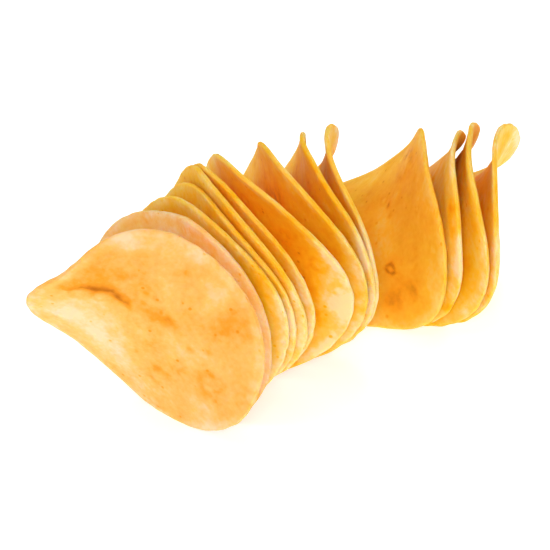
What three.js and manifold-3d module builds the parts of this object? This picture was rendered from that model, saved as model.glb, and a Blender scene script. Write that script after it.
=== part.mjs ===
// A row of fourteen saddle-shaped potato crisps that stand on edge on a table, one behind
// the other, and fan out towards the back.
//
// Millimetres and degrees, +Z up. The table is the plane Z = 0 and the row runs along +X,
// from the pale crisp in front to the last one at the back. Each crisp faces the front of
// the row: its long ends curl forward and its two sides curl back.

import * as THREE from "three";
import { mergeVertices } from "three/addons/utils/BufferGeometryUtils.js";
import Module from "manifold-3d";

const { degToRad } = THREE.MathUtils;
const wasm = await Module();
wasm.setup();

// Every crisp
const THICKNESS = 1.4;
const FOOT_DEPTH = 0.3; // how much of the lowest edge is worn flat where it stands
const EDGE_BEVEL = 0.4; // width of the bevel that takes the sharpness off the rim

// The rim isn't quite a true oval. Each wave in it has a count round the rim, the share of
// the radius that it takes the rim in and out, and the angle it starts at.
const POINTED_RIM = [
  { count: 3, share: 0.043, start: 210 },
  { count: 4, share: 0.043, start: 190 },
  { count: 5, share: 0.021, start: 178 },
];
const BROWNED_RIM = [
  { count: 3, share: 0.016, start: 109 },
  { count: 4, share: 0.082, start: 283 },
  { count: 5, share: 0.041, start: 151 },
];

// The waves of a plain rim start this much further round on each crisp than on the last
const RIM_TURN = 57.3;
const plainRim = (index) => [
  { count: 3, share: 0.012, start: RIM_TURN * index },
  { count: 5, share: 0.007, start: -RIM_TURN * index },
];

// Corners of the mesh: steps round the rim, and rings across each face
const RIM_STEPS = 32;
const FACE_RINGS = 5;

// The table is a block under Z = 0 that trims the feet
const TABLE_SIZE = 400;
const TABLE_DEPTH = 40;

// Five kinds of crisp. The curl is how far the long ends come forward, and the sides go
// back, from the middle. The taper narrows the top end, and the twist winds the two ends
// against each other. A kind that names no rim has the plain one.
const KINDS = {
  pointed: { curl: 7, taper: 0.32, twist: 11.5, colour: 0xf0c179, rim: POINTED_RIM },
  shallow: { curl: 6.5, taper: 0.5, twist: 2, colour: 0xeebb70 },
  nested: { curl: 7, taper: 0.06, twist: -2, colour: 0xe9ad56 },
  fanned: { curl: 10, taper: 0.04, twist: -8, colour: 0xe3a044 },
  browned: { curl: 10.5, taper: 0.05, twist: -6, colour: 0xdd9434, rim: BROWNED_RIM },
};

// The row from front to back. Length and width are measured along the straight, not round
// the curl. The middle of each crisp stands over x and y. Its back looks along +X, turned
// to the left by the turn, and it leans back by the lean. The roll tips its long axis
// from upright towards the right.
const ROW = [
  { kind: "pointed", length: 64, width: 59.5, x: -53.5, y: -11.5, turn: 30, lean: -18, roll: -40 },
  { kind: "shallow", length: 59, width: 56, x: -34.5, y: -2, turn: 10, lean: -1, roll: 22 },

  { kind: "nested", length: 57, width: 57, x: -29, y: -0.5, turn: 11, lean: 7, roll: 18 },
  { kind: "nested", length: 57.5, width: 56.5, x: -23.5, y: 1, turn: 6, lean: 5, roll: 23 },
  { kind: "nested", length: 61.5, width: 58.5, x: -19.5, y: 1.5, turn: 1, lean: 1, roll: 21 },
  { kind: "nested", length: 60, width: 58, x: -15, y: 3.5, turn: -1, lean: 3, roll: 12 },

  { kind: "fanned", length: 59, width: 61, x: -5, y: 7, turn: 4, lean: 7, roll: 3 },
  { kind: "fanned", length: 59, width: 58, x: 5.5, y: 8, turn: -1, lean: 12, roll: 7 },
  { kind: "fanned", length: 59, width: 57, x: 14.5, y: 9.5, turn: -9, lean: 18, roll: 11 },
  { kind: "fanned", length: 60, width: 56.5, x: 21, y: 10.5, turn: -18, lean: 21, roll: 12 },

  { kind: "browned", length: 54.5, width: 59, x: 43, y: 11, turn: -10, lean: 43.5, roll: 20 },
  { kind: "fanned", length: 57.5, width: 52, x: 49.5, y: 4, turn: -20, lean: 38, roll: 20 },
  { kind: "fanned", length: 57.5, width: 53.5, x: 54, y: -0.5, turn: -21, lean: 33, roll: 17 },
  { kind: "fanned", length: 58, width: 54, x: 61, y: -3.5, turn: -31, lean: 36, roll: 17 },
];

// A flat round wafer of radius 1 that stands in the YZ plane, THICKNESS thick along X
function makeWafer(bevel) {
  const half = THICKNESS / 2;
  const profile = [];
  for (let ring = 0; ring <= FACE_RINGS; ring += 1) {
    profile.push(new THREE.Vector2((ring / FACE_RINGS) * (1 - bevel), -half));
  }
  profile.push(new THREE.Vector2(1, -half / 3));
  profile.push(new THREE.Vector2(1, half / 3));
  for (let ring = FACE_RINGS; ring >= 0; ring -= 1) {
    profile.push(new THREE.Vector2((ring / FACE_RINGS) * (1 - bevel), half));
  }
  return new THREE.LatheGeometry(profile, RIM_STEPS).rotateZ(-Math.PI / 2);
}

// Bends a wafer into a crisp. On the wafer, up and side run from -1 to 1. On the crisp,
// Z is its long axis, Y its width and X looks out of its back.
function bendWafer(geometry, { length, width }, { curl, taper, twist }, rim) {
  const middle = (up, side) =>
    new THREE.Vector3(
      curl * (side * side - up * up) - twist * up * side,
      (width / 2) * side * (1 - taper * up),
      (length / 2) * up,
    );
  const outward = (up, side) => {
    const alongUp = new THREE.Vector3(
      -2 * curl * up - twist * side,
      -(width / 2) * side * taper,
      length / 2,
    );
    const alongSide = new THREE.Vector3(
      2 * curl * side - twist * up,
      (width / 2) * (1 - taper * up),
      0,
    );
    return alongSide.cross(alongUp).normalize();
  };
  const position = geometry.attributes.position;
  for (let i = 0; i < position.count; i += 1) {
    const angle = Math.atan2(position.getY(i), position.getZ(i));
    const reach = rim.reduce(
      (sum, wave) => sum + wave.share * Math.cos(wave.count * angle + degToRad(wave.start)),
      1,
    );
    const up = position.getZ(i) * reach;
    const side = position.getY(i) * reach;
    const point = middle(up, side).addScaledVector(outward(up, side), position.getX(i));
    position.setXYZ(i, point.x, point.y, point.z);
  }
  return geometry;
}

function toSolid(geometry) {
  const shape = geometry.clone();
  shape.deleteAttribute("normal");
  shape.deleteAttribute("uv");
  const merged = mergeVertices(shape, 1e-5);
  return new wasm.Manifold(
    new wasm.Mesh({
      numProp: 3,
      vertProperties: new Float32Array(merged.attributes.position.array),
      triVerts: new Uint32Array(merged.index.array),
    }),
  );
}

function toGeometry(solid) {
  const { vertProperties, triVerts } = solid.getMesh();
  const geometry = new THREE.BufferGeometry();
  geometry.setAttribute("position", new THREE.BufferAttribute(vertProperties, 3));
  geometry.setIndex(new THREE.BufferAttribute(triVerts, 1));
  geometry.computeVertexNormals();
  return geometry;
}

// Lowers the mesh until its edge is FOOT_DEPTH under the table, and trims it there
function standOnTable(mesh) {
  mesh.updateMatrixWorld();
  const lowest = new THREE.Box3().setFromObject(mesh, true).min.z;
  mesh.position.z -= lowest + FOOT_DEPTH;
  mesh.updateMatrixWorld();
  const table = new THREE.BoxGeometry(TABLE_SIZE, TABLE_SIZE, TABLE_DEPTH);
  table.translate(0, 0, -TABLE_DEPTH / 2);
  table.applyMatrix4(mesh.matrixWorld.clone().invert());
  mesh.geometry = toGeometry(toSolid(mesh.geometry).subtract(toSolid(table)));
}

function makeCrisp(place, index) {
  const kind = KINDS[place.kind];
  const bevel = (2 * EDGE_BEVEL) / place.width;
  const rim = kind.rim ?? plainRim(index);
  const geometry = bendWafer(makeWafer(bevel), place, kind, rim);
  const material = new THREE.MeshStandardMaterial({
    color: kind.colour,
    roughness: 0.6,
    metalness: 0,
  });
  const mesh = new THREE.Mesh(geometry, material);
  mesh.name = `crisp_${String(index + 1).padStart(2, "0")}`;
  const [turn, lean, roll] = [place.turn, place.lean, place.roll].map(degToRad);
  mesh.rotation.set(roll, lean, turn, "ZYX");
  mesh.position.set(place.x, place.y, 0);
  standOnTable(mesh);
  return mesh;
}

const row = new THREE.Group();
ROW.forEach((place, index) => row.add(makeCrisp(place, index)));

// The origin is on the table, under the middle of the row
const middleOfRow = new THREE.Box3().setFromObject(row, true).getCenter(new THREE.Vector3());
row.position.set(-middleOfRow.x, -middleOfRow.y, 0);

export default row;
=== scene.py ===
"""Fourteen saddle-shaped potato crisps that stand on edge in a row and fan out to the back.

Each crisp is bent from a flat round wafer by the same formula as its solid, with a fine
blistered skin, and takes its place from the frame. Shapes are in millimetres and degrees
up to make_mesh and the other makers of Blender objects, which turn them into metres.
"""

import math

import bpy
import numpy as np
from mathutils import Euler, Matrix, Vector
from mathutils.bvhtree import BVHTree


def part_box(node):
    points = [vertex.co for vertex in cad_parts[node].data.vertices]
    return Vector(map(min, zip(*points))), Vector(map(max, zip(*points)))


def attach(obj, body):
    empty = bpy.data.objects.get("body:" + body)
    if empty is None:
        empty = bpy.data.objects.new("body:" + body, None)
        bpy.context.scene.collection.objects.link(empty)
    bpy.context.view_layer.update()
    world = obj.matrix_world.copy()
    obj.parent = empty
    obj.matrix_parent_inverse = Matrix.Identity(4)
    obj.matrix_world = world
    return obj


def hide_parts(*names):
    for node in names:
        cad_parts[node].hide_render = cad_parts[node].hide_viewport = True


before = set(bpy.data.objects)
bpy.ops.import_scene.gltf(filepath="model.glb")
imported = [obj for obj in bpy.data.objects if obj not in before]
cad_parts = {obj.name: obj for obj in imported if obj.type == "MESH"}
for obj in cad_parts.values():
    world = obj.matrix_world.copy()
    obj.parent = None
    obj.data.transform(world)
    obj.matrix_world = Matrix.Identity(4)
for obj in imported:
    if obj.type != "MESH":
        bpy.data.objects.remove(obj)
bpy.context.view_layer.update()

MM = 0.001

# --- The crisps ---------------------------------------------------------------------------

THICKNESS = 1.4

# The curl is how far the long ends come forward, and the sides go back, from the middle.
# The taper narrows the top end, and the twist winds the two ends against each other.
KINDS = {
    "pointed": {"curl": 7, "taper": 0.32, "twist": 11.5, "slot": "pale_crisp"},
    "shallow": {"curl": 6.5, "taper": 0.5, "twist": 2, "slot": "pale_crisp"},
    "nested": {"curl": 7, "taper": 0.06, "twist": -2, "slot": "golden_crisp"},
    "fanned": {"curl": 10, "taper": 0.04, "twist": -8, "slot": "golden_crisp"},
    "browned": {"curl": 10.5, "taper": 0.05, "twist": -6, "slot": "browned_crisp"},
}

# Waves in the rim of a kind: their count round it, the share of the radius that they take
# it in and out, and the angle they start at
RIMS = {
    "pointed": [(3, 0.043, 210), (4, 0.043, 190), (5, 0.021, 178)],
    "browned": [(3, 0.016, 109), (4, 0.082, 283), (5, 0.041, 151)],
}

# The other kinds have a plain rim. Its waves start this much further round on each crisp
# than on the last, one of them to the left and one to the right.
RIM_TURN = 57.3
PLAIN_RIM = [(3, 0.012, 1), (5, 0.007, -1)]

# From front to back: kind, length, width, turn, lean, roll. The back of a crisp looks along
# +X, turned to the left by the turn, and leans back by the lean. The roll tips its long
# axis from upright towards the right.
ROW = [
    ("pointed", 64, 59.5, 30, -18, -40),
    ("shallow", 59, 56, 10, -1, 22),
    ("nested", 57, 57, 11, 7, 18),
    ("nested", 57.5, 56.5, 6, 5, 23),
    ("nested", 61.5, 58.5, 1, 1, 21),
    ("nested", 60, 58, -1, 3, 12),
    ("fanned", 59, 61, 4, 7, 3),
    ("fanned", 59, 58, -1, 12, 7),
    ("fanned", 59, 57, -9, 18, 11),
    ("fanned", 60, 56.5, -18, 21, 12),
    ("browned", 54.5, 59, -10, 43.5, 20),
    ("fanned", 57.5, 52, -20, 38, 20),
    ("fanned", 57.5, 53.5, -21, 33, 17),
    ("fanned", 58, 54, -31, 36, 17),
]

# --- The skin -----------------------------------------------------------------------------

# Corners of the mesh: steps round the rim, rings across each face, steps over the edge
RIM_STEPS = 192
FACE_RINGS = 34
EDGE_STEPS = 8
EDGE_ROUNDING = 0.6  # how far in from the rim the edge starts to round off

# Long low waves of the whole sheet
WAVES = 6
WAVE_LENGTHS = (15, 34)
WAVE_HEIGHT = 0.09  # of each wave

# Blisters on each face
BLISTERS = 40
BLISTER_RADII = (0.9, 4.0)
SMALL_BLISTERS = 1.5  # above 1 there are more small ones than large ones
BLISTER_STRENGTHS = (0.4, 1)  # from the flattest to the fullest
BLISTER_STEEPNESS = 0.1  # height over radius
BLISTER_TOP = 0.10  # how much less done its top is, at most
BLISTER_RING = 0.16  # how much more done the ring round it is, at most
BROWN_RINGS = 2  # above 1 there are fewer brown rings than pale ones
RING_REACH = 0.9  # of that ring, over the radius
RING_SPREAD = 0.35
RIM_CALM = 3  # how far in from the rim the blisters have their full height

# Blisters and marks are a little crooked
CROOKED = 0.5
CROOKED_WAVES = 3
CROOKED_LENGTHS = (4, 9)

# The ragged rim, as waves along it
RAGS = 14
RAG_COUNTS = (9, 46)  # waves in one turn round the rim
RAG_HEIGHT = 0.035
RAG_STRENGTHS = (0.3, 1)
RAG_REACH = 6  # the higher, the closer to the rim the rags stay

# The rim is paler, partly its own colour and partly a painted highlight along the lit rim, and so
# is the side where side is near -1, which is painted light where the lamps fall on it. A band tells
# where the paleness begins to fade and where it is gone: in mm from the rim, and in -side. The band
# along the side wanders by this much of side for each mm that the marks are crooked.
RIM_PALENESS_AND_HIGHLIGHT = 0.12
RIM_BAND = (0.8, 2.4)
SIDE_PAINTED_LIGHT = {"pale_crisp": 0.0, "golden_crisp": 0.15, "browned_crisp": 0.08}
SIDE_BAND = (0.86, 0.72)
SIDE_WANDER = 0.01

# How far a whole crisp is from the usual doneness, at most
TONE_SPREAD = 0.04

# Places in the dough, for its patterns, are places in the flat wafer. The faces and the
# crisps lie this far apart there, so that each has patterns of its own.
FACE_APART = 3
CRISPS_APART = 100

# A bump fills no more than this share of the way to the next crisp. Crisps further off
# than FAR don't matter.
ROOM_SHARE = 0.35
FAR = 4.0

# Marks that stand out are on the front of a crisp, or on its back where its number has a
# minus. Their places are up and side, from -1 to 1. The dough goes from 0, pale cream,
# over gold and orange to 1, toasted brown.
#
# Spots, by crisp: up, side, radius, and how much more done they are. Some are painted light or
# painted shade, as the notes by them say.
SPOTS = {
    1: [
        # Orange patches
        (0.70, -0.15, 5.0, 0.14),
        (0.45, -0.40, 7.0, 0.10),
        (0.10, -0.19, 2.6, 0.28),
        (0.00, -0.25, 2.2, 0.28),
        (0.86, 0.14, 2.4, 0.22),
        (0.80, -0.42, 3.0, 0.12),
        (0.60, -0.55, 3.0, 0.12),
        (-0.32, -0.80, 6.0, 0.14),
        (-0.36, 0.28, 3.5, 0.10),
        (-0.60, -0.15, 5.0, 0.10),
        # Small toasted dots
        (0.09, -0.29, 0.6, 0.25),
        (-0.02, -0.28, 0.8, 0.18),
        (0.29, -0.33, 0.7, 0.20),
        (0.23, -0.21, 0.8, 0.20),
        (0.28, -0.08, 0.9, 0.22),
        (0.08, 0.02, 0.7, 0.20),
        (0.28, -0.50, 0.7, 0.15),
        (0.44, -0.46, 0.8, 0.15),
        (0.24, -0.72, 0.7, 0.18),
        (0.38, -0.89, 0.7, 0.22),
        (-0.32, -0.23, 1.1, 0.22),
        (-0.39, -0.36, 0.9, 0.18),
        (-0.47, -0.22, 0.8, 0.20),
        (-0.56, -0.23, 0.8, 0.22),
        (-0.57, -0.38, 0.6, 0.15),
        (-0.43, -0.05, 0.6, 0.15),
        (-0.65, -0.17, 0.9, 0.22),
        (-0.72, -0.15, 0.8, 0.18),
        (-0.80, -0.12, 0.7, 0.15),
        (-0.81, 0.01, 0.7, 0.15),
        # Pale patches
        (0.69, -0.64, 3.5, -0.22),
        (0.26, -0.91, 3.5, -0.20),
        (-0.09, -0.81, 3.0, -0.15),
        (0.62, 0.48, 5.0, -0.20),
        (0.45, 0.42, 7.0, -0.22),
        (0.15, 0.50, 7.0, -0.22),
        (-0.15, 0.55, 6.0, -0.18),
        (-0.94, 0.09, 5.0, -0.20),
    ],
    # Painted light: crisp 2 paler all over, against the shade that crisp 1 casts on it, and a more
    # done spot low on its near side
    2: [(0.2, -0.3, 40.0, -0.1), (-0.45, -0.8, 5.0, 0.15)],
    7: [
        # Painted light: a cream band along the lit side
        (-0.05, -0.9, 4.5, -0.25),
        (-0.6, -0.7, 6.0, -0.15),
        # Painted shade: orange above and beside it, on the front in shade
        (0.5, 0.0, 14.0, 0.2),
        (0.3, -0.5, 5.5, 0.18),
        (0.0, -0.52, 5.5, 0.3),
        (-0.3, -0.55, 4.0, 0.2),
    ],
    # Painted shade: the middle of the fronts of 8 and 9 more done, deep between their neighbours;
    # on 10 it is painted a little paler, as painted light
    8: [(0.5, 0.0, 14.0, 0.2)],
    9: [(0.5, 0.0, 14.0, 0.2)],
    10: [(0.5, 0.0, 14.0, -0.05)],
    11: [
        # Toasted spot
        (0.254, 0.067, 0.9, 0.6),
        (0.23, -0.04, 1.1, 0.3),
        # Orange patches
        (0.78, 0.14, 3.5, 0.12),
        (0.05, -0.74, 3.0, 0.28),
        (-0.2, -0.7, 3.0, 0.26),
    ],
    # Painted light: the fronts of 12 and 13 paler in their narrow gaps, and the tip of 14 paler
    # where light falls on it; each is also more done along the near side, which takes back the
    # painted light there
    12: [(0.2, 0.0, 16.0, -0.12), (-0.3, -0.95, 14.0, 0.15)],
    13: [(0.2, 0.0, 16.0, -0.12), (-0.3, -0.95, 14.0, 0.15)],
    14: [(0.95, 0.0, 7.0, -0.12), (-0.2, -0.95, 14.0, 0.15)],
    # Painted light: the backs of the tips of 10 and 14 paler, where light from above falls on them
    -10: [(0.6, 0.7, 9.0, -0.25)],
    -14: [(0.6, 0.65, 10.0, -0.2)],
}

# Brown rings round burst bubbles, by crisp: up, side, radius
RINGS = {11: [(-0.02, -0.478, 1.5)]}
RING_DONE = 0.5
RING_WIDTH = 0.6

# Creases, by crisp, as points in up and side. The dough at a crease is painted darker, as painted
# shade in the fold, and the flap below it stands forward.
CREASES = {
    1: [(0.735, 0.13), (0.69, 0.04), (0.56, -0.07), (0.477, -0.13), (0.40, -0.10), (0.347, -0.09)],
}
CREASE_SHADE = 0.42
CREASE_FADES = (1.4, 1.0)  # how far the painted shade reaches below and above
CREASE_DEPTH = 0.04
FLAP_HEIGHT = 0.35
FLAP_FADE = 5


def bend(crisp, up, side):
    """The points of a crisp's middle sheet, and the directions out of its back."""
    kind, length, width = crisp[:3]
    curl, taper, twist = (KINDS[kind][name] for name in ("curl", "taper", "twist"))
    middle = np.stack(
        [
            curl * (side**2 - up**2) - twist * up * side,
            width / 2 * side * (1 - taper * up),
            length / 2 * up,
        ],
        axis=-1,
    )
    along_up = np.stack(
        [
            -2 * curl * up - twist * side,
            -width / 2 * side * taper,
            np.full_like(up, length / 2),
        ],
        axis=-1,
    )
    along_side = np.stack(
        [
            2 * curl * side - twist * up,
            width / 2 * (1 - taper * up),
            np.zeros_like(up),
        ],
        axis=-1,
    )
    outward = np.cross(along_side, along_up)
    return middle, outward / np.linalg.norm(outward, axis=-1, keepdims=True)


def rim_waves(kind, number, angle):
    """How far the rim strays from an oval at each angle, as a share of the radius."""
    turn = RIM_TURN * (number - 1)
    plain = [(count, share, way * turn) for count, share, way in PLAIN_RIM]
    waves = RIMS.get(kind, plain)
    return sum(share * np.cos(count * angle + math.radians(start)) for count, share, start in waves)


def wafer_rows():
    """Rows of the skin from the middle of the front, over the rim, to the middle of the back:
    the share of the radius, how far in from the rim the row starts, and its place in the
    thickness, from -1 at the front to 1 at the back."""
    face = np.arange(1, FACE_RINGS + 1) / FACE_RINGS
    arc = np.linspace(0, math.pi, EDGE_STEPS + 1)[1:-1]
    flat = np.ones(FACE_RINGS)
    share = np.concatenate([face, np.ones(len(arc)), face[::-1]])
    inset = EDGE_ROUNDING * np.concatenate([flat, 1 - np.sin(arc), flat])
    level = np.concatenate([-flat, -np.cos(arc), flat])
    return share, inset, level


def ripples(rng, flat, count, lengths, height):
    """A sum of straight waves in random directions, at each flat point."""
    lengths = rng.uniform(*lengths, count)
    headings = rng.uniform(0, math.tau, count)
    phases = rng.uniform(0, math.tau, count)
    across = flat @ np.stack([np.cos(headings), np.sin(headings)])
    return height * np.sin(across * math.tau / lengths + phases).sum(-1)


def fade(values, full, gone):
    """1 where the values are beyond full, 0 where they are beyond gone, smooth between."""
    share = np.clip((values - gone) / (full - gone), 0, 1)
    return share * share * (3 - 2 * share)


def ragged(rng, angle):
    """How far the rim strays outwards at each angle."""
    counts = rng.integers(*RAG_COUNTS, RAGS)
    phases = rng.uniform(0, math.tau, RAGS)
    heights = RAG_HEIGHT * rng.uniform(*RAG_STRENGTHS, RAGS)
    return (heights * np.cos(np.multiply.outer(angle, counts) + phases)).sum(-1)


def blisters(rng, flat, half_size):
    """Heights of the blisters on one face, and how much they change its doneness."""
    height, done = np.zeros(len(flat)), np.zeros(len(flat))
    low, high = BLISTER_RADII
    for _ in range(BLISTERS):
        heading, reach = rng.uniform(0, math.tau), math.sqrt(rng.uniform(0, 1))
        centre = half_size * reach * (math.sin(heading), math.cos(heading))
        radius = low * (high / low) ** (rng.uniform(0, 1) ** SMALL_BLISTERS)
        strength, browning = rng.uniform(*BLISTER_STRENGTHS), rng.uniform(0, 1) ** BROWN_RINGS
        away = np.linalg.norm(flat - centre, axis=1) / radius
        dome = np.clip(1 - away**2, 0, None) ** 2
        height = np.maximum(height, BLISTER_STEEPNESS * radius * strength * dome)
        ring = np.exp(-(((away - RING_REACH) / RING_SPREAD) ** 2))
        done += BLISTER_RING * browning * ring - BLISTER_TOP * strength * dome
    return height, done


def to_segment(points, start, end):
    """Distances from points to the line from start to end, and which side they are on."""
    along = end - start
    share = np.clip((points - start) @ along / (along @ along), 0, 1)
    away = points - start - np.multiply.outer(share, along)
    return np.linalg.norm(away, axis=1), away @ (-along[1], along[0])


def marks(number, flat, half_size):
    """Height and doneness of the marks that stand out on a face of a crisp, painted light and shade
    among them.
    """
    done, crease_shade, groove, flap = (np.zeros(len(flat)) for _ in range(4))
    for up, side, radius, strength in SPOTS.get(number, []):
        away = np.linalg.norm(flat - half_size * (side, up), axis=1) / radius
        done += strength * np.exp(-(away**2))
    for up, side, radius in RINGS.get(number, []):
        away = np.linalg.norm(flat - half_size * (side, up), axis=1)
        done += RING_DONE * np.exp(-(((away - radius) / RING_WIDTH) ** 2))
    crease = [half_size * (side, up) for up, side in CREASES.get(number, [])]
    for start, end in zip(crease, crease[1:]):
        away, which_side = to_segment(flat, start, end)
        is_below = which_side < 0
        # Painted shade along the crease, reaching further below it than above
        reach = np.where(is_below, *CREASE_FADES)
        crease_shade = np.maximum(crease_shade, np.exp(-((away / reach) ** 2)))
        groove = np.maximum(groove, np.exp(-((away / CREASE_FADES[1]) ** 2)))
        flap = np.maximum(flap, np.where(is_below, np.exp(-away / FLAP_FADE), 0))
    return FLAP_HEIGHT * flap - CREASE_DEPTH * groove, done + CREASE_SHADE * crease_shade


def node_name(number):
    return f"crisp_{number:02d}"


def room(points, directions, neighbours):
    """How far each point can go before it meets a neighbour, up to FAR."""
    ways = np.full(len(points), FAR)
    for solid in neighbours:
        for i, (point, direction) in enumerate(zip(points, directions)):
            *_, way = solid.ray_cast(Vector(point) * MM, Vector(direction), FAR * MM)
            if way is not None:
                ways[i] = min(ways[i], way / MM)
    return ways


def with_poles(rows, front=0, back=0):
    """The rows of the skin in one list, between the poles of its front and its back."""
    return np.concatenate([[front], rows.ravel(), [back]])


def skin_grid(rng, number, crisp):
    """Corners of the skin: up, side, how far in from the rim, and place in the thickness."""
    kind, length, width = crisp[:3]
    mean_half = (length + width) / 4
    share, inset, level = (row[:, None] for row in wafer_rows())
    angle = np.arange(RIM_STEPS) * math.tau / RIM_STEPS
    stray = rim_waves(kind, number, angle)
    rags = ragged(rng, angle) / mean_half
    radius = share * (1 + stray + share**RAG_REACH * rags) * (1 - inset / mean_half)
    up, side = with_poles(radius * np.cos(angle)), with_poles(radius * np.sin(angle))
    from_rim = (1 - with_poles(np.repeat(share, RIM_STEPS))) * mean_half
    return up, side, from_rim, with_poles(np.repeat(level, RIM_STEPS), -1, 1)


def place_sheet(number, crisp, up, side, level):
    """A crisp's middle sheet where its solid is, and the directions out of its back."""
    middle, outward = bend(crisp, up, side)
    turn, lean, roll = (math.radians(angle) for angle in crisp[3:])
    turned = np.array(Euler((roll, lean, turn)).to_matrix())
    middle, outward = middle @ turned.T, outward @ turned.T
    surface = middle + outward * (THICKNESS / 2 * level)[:, None]
    low, high = (np.array(corner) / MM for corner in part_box(node_name(number)))
    shift = (low + high) / 2 - (surface.min(0) + surface.max(0)) / 2
    shift[2] = high[2] - surface[:, 2].max()
    return middle + shift, outward


def make_skin(number, crisp, solids):
    """Corners of one crisp, how done its dough is there with its painted light and shade, and their
    places in the dough.
    """
    rng = np.random.default_rng(number)
    kind, length, width = crisp[:3]
    half_size = np.array([width, length]) / 2
    up, side, from_rim, level = skin_grid(rng, number, crisp)
    middle, outward = place_sheet(number, crisp, up, side, level)
    flat = np.stack([side, up], axis=-1) * half_size
    wave = ripples(rng, flat, WAVES, WAVE_LENGTHS, WAVE_HEIGHT)
    shifts = [
        ripples(rng, flat, CROOKED_WAVES, CROOKED_LENGTHS, CROOKED / 2) for _ in range(2)
    ]
    crooked = flat + np.stack(shifts, axis=-1)

    # The front and then the back, each with no higher bumps than its neighbour leaves room
    half = THICKNESS / 2
    calm = np.clip(from_rim / RIM_CALM, 0, 1)
    neighbours = [solids[n] for n in (number - 1, number + 1) if n in solids]
    heights, dones = [], []
    for way in (-1, 1):
        bump, bump_done = blisters(rng, crooked, half_size)
        mark, mark_done = marks(-way * number, crooked, half_size)
        space = room(middle + way * half * outward, way * outward, neighbours)
        heights.append(half + np.minimum(bump * calm + mark + way * wave, ROOM_SHARE * space))
        dones.append(bump_done + mark_done)
    corners = middle + outward * (np.where(level < 0, *heights) * level)[:, None]
    corners[:, 2] = np.maximum(corners[:, 2], 0)  # the table

    done = np.where(level < 0, *dones)
    # Paler rim, partly its own colour and partly a painted highlight along the lit rim
    done += rng.uniform(-TONE_SPREAD, TONE_SPREAD) - RIM_PALENESS_AND_HIGHLIGHT * fade(from_rim, *RIM_BAND)
    # Painted light along the near side, where the lamps fall on it
    wander = SIDE_WANDER * (crooked - flat)[:, 0]
    done -= SIDE_PAINTED_LIGHT[KINDS[kind]["slot"]] * fade(wander - side, *SIDE_BAND)
    dough = np.stack([level * FACE_APART + number * CRISPS_APART, *flat.T], axis=-1)
    return corners, done, dough


def grid_faces(rows):
    """Quads between the rows of the skin, and triangles round its two poles."""
    step = np.arange(RIM_STEPS)
    after = (step + 1) % RIM_STEPS
    faces = [(0, 1 + a, 1 + b) for a, b in zip(step, after)]
    for row in range(rows - 1):
        inner, outer = 1 + row * RIM_STEPS, 1 + (row + 1) * RIM_STEPS
        faces += [
            (inner + a, outer + a, outer + b, inner + b) for a, b in zip(step, after)
        ]
    last, pole = 1 + (rows - 1) * RIM_STEPS, 1 + rows * RIM_STEPS
    faces += [(pole, last + b, last + a) for a, b in zip(step, after)]
    return [tuple(int(i) for i in face) for face in faces]


def make_mesh(name, corners, faces, done, dough):
    mesh = bpy.data.meshes.new(name)
    mesh.from_pydata((corners * MM).tolist(), [], faces)
    mesh.attributes.new("done", "FLOAT", "POINT").data.foreach_set("value", done)
    place = mesh.attributes.new("dough", "FLOAT_VECTOR", "POINT")
    place.data.foreach_set("vector", dough.ravel())
    mesh.polygons.foreach_set("use_smooth", np.ones(len(faces), bool))
    mesh.validate()
    crisp = bpy.data.objects.new(name, mesh)
    bpy.context.scene.collection.objects.link(crisp)
    return crisp


# --- The fried dough ----------------------------------------------------------------------

# Base colours, linear, from the least done dough to the most: where on the ramp, colour
RAMPS = {
    "pale_crisp": [
        (0.0, (0.87, 0.62, 0.36)),
        (0.25, (0.87, 0.48, 0.13)),
        (0.55, (0.84, 0.32, 0.024)),
        (1.0, (0.42, 0.12, 0.004)),
    ],
    "golden_crisp": [
        (0.0, (0.97, 0.69, 0.34)),
        (0.15, (0.97, 0.57, 0.10)),
        (0.35, (0.97, 0.46, 0.012)),
        (0.6, (0.88, 0.31, 0.003)),
        (1.0, (0.42, 0.11, 0.002)),
    ],
    "browned_crisp": [
        (0.0, (0.93, 0.63, 0.15)),
        (0.25, (0.92, 0.48, 0.035)),
        (0.5, (0.84, 0.35, 0.014)),
        (1.0, (0.34, 0.09, 0.002)),
    ],
}

# How done the plain dough is, and its patterns: size in mm, detail, and how far they
# change that
DONE_MIDDLE = 0.33
PATCHES = [(12, 2, 0.45), (4.5, 3, 0.35), (1.3, 3, 0.3)]

# Small specks: the spacing, the radii of the middle and the whole as shares of it
SPECK_SPACING = 4.2
SPECK_BAND = (0.05, 0.15)
SPECK_DONE = 0.25

# A dull, slightly uneven sheen: how rough it is, and the size and detail of its noise
ROUGHNESS = (0.48, 0.66)
SHEEN_NOISE = (4, 2)
NOISE_BAND = (0.3, 0.7)  # what a noise mostly stays between
SPECULAR = 0.03

# Light goes some way through the thin dough, red furthest
GLOW_SHARE = 0.7
GLOW_REACH = (2.5, 1.1, 0.15)

# Pebbled skin with small pores: size and detail, and the strength and depth of the bumps
PEBBLE_NOISE = (1.1, 3)
PEBBLE_BUMPS = (0.5, 0.2)
PORE_SPACING = 1.9
PORE_BAND = (0.05, 0.35)  # from a pore's bottom to its edge, as shares of the spacing
PORE_BUMPS = (0.35, 0.12)


class NodeMaker:
    """Adds nodes to a material and links them by the names of their sockets."""

    def __init__(self, tree):
        self.tree = tree

    def add(self, kind, settings=None, **inputs):
        node = self.tree.nodes.new(kind)
        for name, value in (settings or {}).items():
            setattr(node, name, value)
        for name, value in inputs.items():
            self.put(node, name.replace("_", " "), value)
        return node

    def put(self, node, name, value):
        socket = node.inputs[name]
        if isinstance(value, bpy.types.NodeSocket):
            self.tree.links.new(value, socket)
        else:
            socket.default_value = value


def rgba(colour):
    return (*colour, 1)


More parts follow.
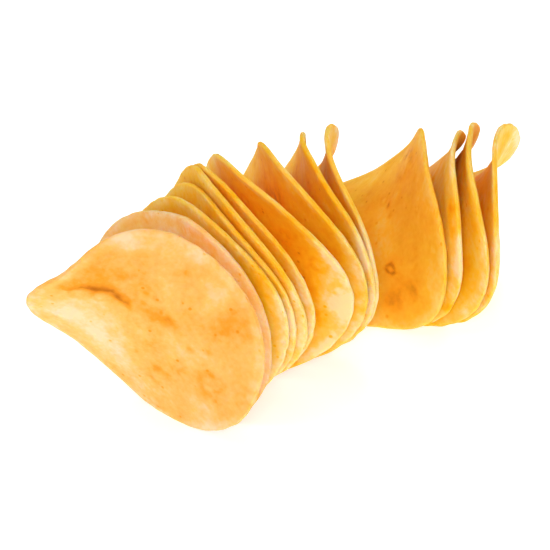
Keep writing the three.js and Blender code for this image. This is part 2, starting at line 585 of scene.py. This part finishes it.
def make_dough(name, ramp):
    """The material of a crisp. Its patterns lie in the flat wafer, in mm."""
    material = bpy.data.materials.new(name)
    material.use_nodes = True
    tree = material.node_tree
    shader = tree.nodes["Principled BSDF"]
    make = NodeMaker(tree)
    place = make.add("ShaderNodeAttribute", {"attribute_name": "dough"}).outputs["Vector"]
    done = make.add("ShaderNodeAttribute", {"attribute_name": "done"}).outputs["Fac"]

    def noise(size, detail):
        node = make.add("ShaderNodeTexNoise", Vector=place, Scale=1 / size, Detail=detail)
        return node.outputs["Fac"]

    def cells(size):
        node = make.add("ShaderNodeTexVoronoi", Vector=place, Scale=1 / size)
        return node.outputs["Distance"]

    def remap(value, low, high, to_low, to_high, interpolation="SMOOTHSTEP"):
        node = make.add("ShaderNodeMapRange", {"interpolation_type": interpolation})
        for key, item in enumerate((value, low, high, to_low, to_high)):
            make.put(node, key, item)
        return node.outputs["Result"]

    def plus(first, second):
        node = make.add("ShaderNodeMath", {"operation": "ADD"})
        make.put(node, 0, first)
        make.put(node, 1, second)
        return node.outputs[0]

    def bumps(height, strength, depth):
        return make.add("ShaderNodeBump", Strength=strength, Distance=depth * MM, Height=height)

    # How done the dough is, painted light and shade included: its own marks, patches and mottle,
    # and small specks
    for size, detail, reach in PATCHES:
        patch = remap(noise(size, detail), 0, 1, -reach / 2, reach / 2, "LINEAR")
        done = plus(done, patch)
    speck = remap(cells(SPECK_SPACING), *SPECK_BAND, SPECK_DONE, 0)
    done = plus(plus(done, speck), DONE_MIDDLE)

    colours = make.add("ShaderNodeValToRGB")
    stops = colours.color_ramp.elements
    while len(stops) < len(ramp):
        stops.new(1)
    for stop, (where, colour) in zip(stops, ramp):
        stop.position = where
        stop.color = rgba(colour)
    make.put(colours, "Fac", done)
    make.put(shader, "Base Color", colours.outputs["Color"])

    make.put(shader, "Roughness", remap(noise(*SHEEN_NOISE), *NOISE_BAND, *ROUGHNESS))
    make.put(shader, "Specular IOR Level", SPECULAR)
    make.put(shader, "Subsurface Weight", GLOW_SHARE)
    make.put(shader, "Subsurface Radius", GLOW_REACH)
    make.put(shader, "Subsurface Scale", MM)

    pebbles = bumps(noise(*PEBBLE_NOISE), *PEBBLE_BUMPS)
    pores = bumps(remap(cells(PORE_SPACING), *PORE_BAND, 0, 1), *PORE_BUMPS)
    make.put(pores, "Normal", pebbles.outputs["Normal"])
    make.put(shader, "Normal", pores.outputs["Normal"])
    return material


def solid_of(name):
    """The plain solid of a crisp, to find the room that it leaves to its neighbours."""
    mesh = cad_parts[name].data
    corners = [vertex.co.copy() for vertex in mesh.vertices]
    return BVHTree.FromPolygons(corners, [tuple(face.vertices) for face in mesh.polygons])


doughs = {slot: make_dough(slot, ramp) for slot, ramp in RAMPS.items()}
solids = {n: solid_of(node_name(n)) for n in range(1, len(ROW) + 1)}
skin_faces = grid_faces(2 * FACE_RINGS + EDGE_STEPS - 1)
for number, crisp in enumerate(ROW, start=1):
    corners, done, dough = make_skin(number, crisp, solids)
    piece = make_mesh(f"fried_{node_name(number)}", corners, skin_faces, done, dough)
    slot = KINDS[crisp[0]]["slot"]
    piece.data.materials.append(doughs[slot])
    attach(piece, "root")
    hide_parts(node_name(number))

# --- The studio ---------------------------------------------------------------------------

LOOK_AT = (2.5, 8.9, 18.8)
CAMERA_AZIMUTH = -40
CAMERA_ELEVATION = 28
CAMERA_DISTANCE = 2400
VIEW_WIDTH = 145.1  # what the picture takes in, at the crisps
SENSOR_WIDTH = 36
CLIP_NEAR, CLIP_FAR = 100, 20000

FLOOR_SIZE = 6000
FLOOR_COLOUR = (0.92, 0.92, 0.92)
FLOOR_ROUGHNESS = 0.7
FLOOR_GLOW = 0.55
SKY_STRENGTH = 0.1

# Soft lights: azimuth, elevation, distance, size, watts
LIGHTS = {
    "front_light": (-40, 28, 1000, 250, 5.0),
    "key_light": (5, 25, 1000, 350, 1.0),
    "left_light": (-125, 42, 1000, 600, 2.8),
    "right_light": (95, 14, 1000, 300, 3.6),
    "back_light": (145, 42, 1000, 500, 3.2),
    "top_light": (0, 85, 1000, 600, 1.3),
}


def direction(azimuth, elevation):
    """From the crisps towards an azimuth and elevation. Azimuth 0 is -Y and 90 is +X."""
    across, rise = math.radians(azimuth), math.radians(elevation)
    return Vector(
        (
            math.sin(across) * math.cos(rise),
            -math.cos(across) * math.cos(rise),
            math.sin(rise),
        )
    )


def aim(thing, azimuth, elevation, distance):
    """Puts a light or camera out in that direction, facing the crisps."""
    away = direction(azimuth, elevation)
    thing.location = (Vector(LOOK_AT) + away * distance) * MM
    thing.rotation_euler = away.to_track_quat("Z", "Y").to_euler()
    bpy.context.scene.collection.objects.link(thing)


def make_floor():
    half = FLOOR_SIZE / 2 * MM
    mesh = bpy.data.meshes.new("floor")
    corners = [(-half, -half, 0), (half, -half, 0), (half, half, 0), (-half, half, 0)]
    mesh.from_pydata(corners, [], [(0, 1, 2, 3)])
    material = bpy.data.materials.new("floor")
    material.use_nodes = True
    shader = material.node_tree.nodes["Principled BSDF"]
    shader.inputs["Base Color"].default_value = rgba(FLOOR_COLOUR)
    shader.inputs["Roughness"].default_value = FLOOR_ROUGHNESS
    shader.inputs["Emission Color"].default_value = rgba(FLOOR_COLOUR)
    shader.inputs["Emission Strength"].default_value = FLOOR_GLOW
    mesh.materials.append(material)
    floor = bpy.data.objects.new("floor", mesh)
    bpy.context.scene.collection.objects.link(floor)


def make_sky():
    world = bpy.data.worlds.new("studio")
    world.use_nodes = True
    background = world.node_tree.nodes["Background"]
    background.inputs["Color"].default_value = (1, 1, 1, 1)
    background.inputs["Strength"].default_value = SKY_STRENGTH
    bpy.context.scene.world = world


def make_lights():
    for name, (azimuth, elevation, distance, size, watts) in LIGHTS.items():
        light = bpy.data.lights.new(name, "AREA")
        light.size = size * MM
        light.energy = watts
        aim(bpy.data.objects.new(name, light), azimuth, elevation, distance)


def make_camera():
    camera = bpy.data.cameras.new("camera")
    camera.sensor_width = SENSOR_WIDTH
    camera.lens = SENSOR_WIDTH * CAMERA_DISTANCE / VIEW_WIDTH
    camera.clip_start, camera.clip_end = CLIP_NEAR * MM, CLIP_FAR * MM
    holder = bpy.data.objects.new("camera", camera)
    aim(holder, CAMERA_AZIMUTH, CAMERA_ELEVATION, CAMERA_DISTANCE)
    bpy.context.scene.camera = holder


make_floor()
make_sky()
make_lights()
make_camera()
bpy.context.scene.view_settings.view_transform = "Standard"
